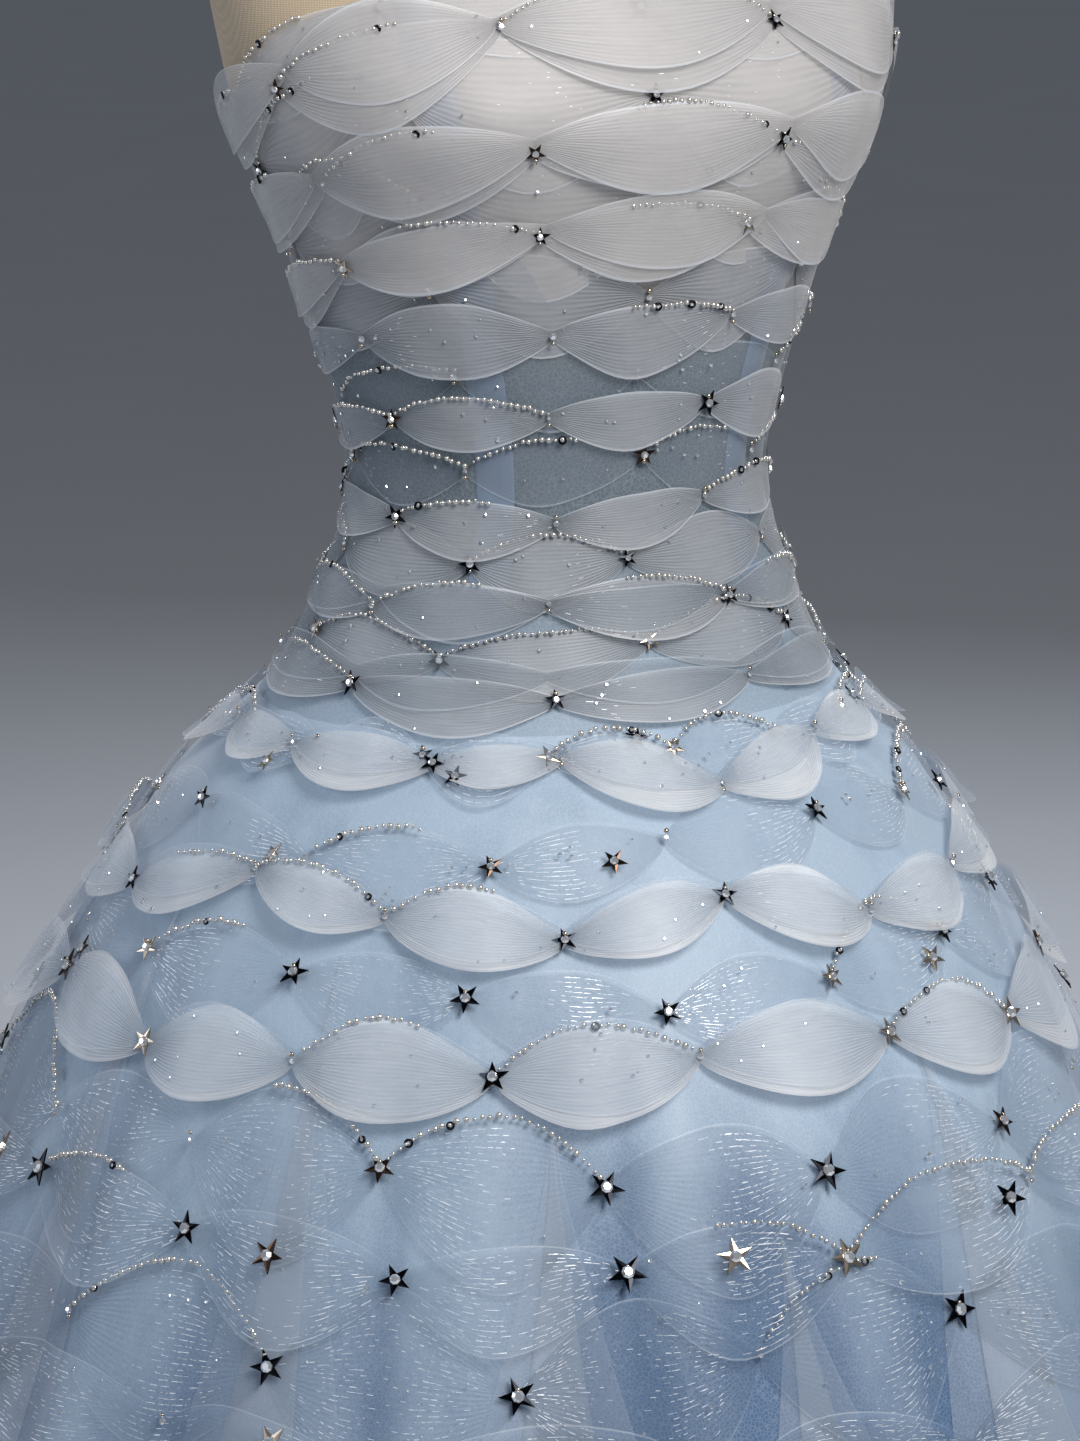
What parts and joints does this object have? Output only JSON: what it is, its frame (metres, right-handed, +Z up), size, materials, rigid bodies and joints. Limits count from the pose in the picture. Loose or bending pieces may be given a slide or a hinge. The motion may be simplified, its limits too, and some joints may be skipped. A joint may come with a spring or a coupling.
{
  "type": "ball gown on a dress form",
  "caption": "Strapless ball gown with a fitted bodice and a full floor-length skirt, covered in rows of pinched sheer braid petals, on a limbless dress form with a round stand.",
  "frame": {"origin": "centre of the stand's underside, on the floor", "axes": "+Z up along the pole; -Y is the gown's front; +X is the wearer's left"},
  "size_m": [1.2743, 1.2727, 1.5943],
  "materials": {
    "bodice_cloth": "sheer mesh over a pale lining, matt with a faint sparkle",
    "skirt_cloth": "layered sky-blue tulle, matt with a soft sheen",
    "petal_braid": "translucent white horsehair braid with fine ribs",
    "stay_ribbon": "pale blue satin ribbon",
    "form_cover": "cream linen, plain weave",
    "stand_metal": "black powder coat",
    "cap_wood": "turned, satin varnish",
    "star_metal": "mirror-polished stars",
    "bead_glass": "silver-lined glass beads and crystals"
  },
  "bodies": {
    "root": {"bodice_front": "bodice_cloth", "bodice_side_front_left": "bodice_cloth", "bodice_side_back_left": "bodice_cloth", "bodice_back_left": "bodice_cloth", "bodice_back_right": "bodice_cloth", "bodice_side_back_right": "bodice_cloth", "bodice_side_front_right": "bodice_cloth", "back_placket": "bodice_cloth", "skirt_front": "skirt_cloth", "skirt_side_left": "skirt_cloth", "skirt_back": "skirt_cloth", "skirt_side_right": "skirt_cloth", "bodice_chain_1": "petal_braid", "bodice_chain_2": "petal_braid", "bodice_chain_3": "petal_braid", "bodice_chain_4": "petal_braid", "bodice_chain_5": "petal_braid", "bodice_chain_6": "petal_braid", "bodice_chain_7": "petal_braid", "bodice_chain_8": "petal_braid", "skirt_chain_1": "petal_braid", "skirt_chain_2": "petal_braid", "skirt_chain_3": "petal_braid", "skirt_chain_4": "petal_braid", "skirt_chain_5": "petal_braid", "skirt_chain_6": "petal_braid", "skirt_chain_7": "petal_braid", "skirt_chain_8": "petal_braid", "skirt_chain_9": "petal_braid", "stay_front_left": "stay_ribbon", "stay_front_right": "stay_ribbon", "form_torso": "form_cover", "form_neck_cap": "cap_wood", "stand_pole": "stand_metal", "stand_base": "stand_metal"}
  },
  "joints": []
}
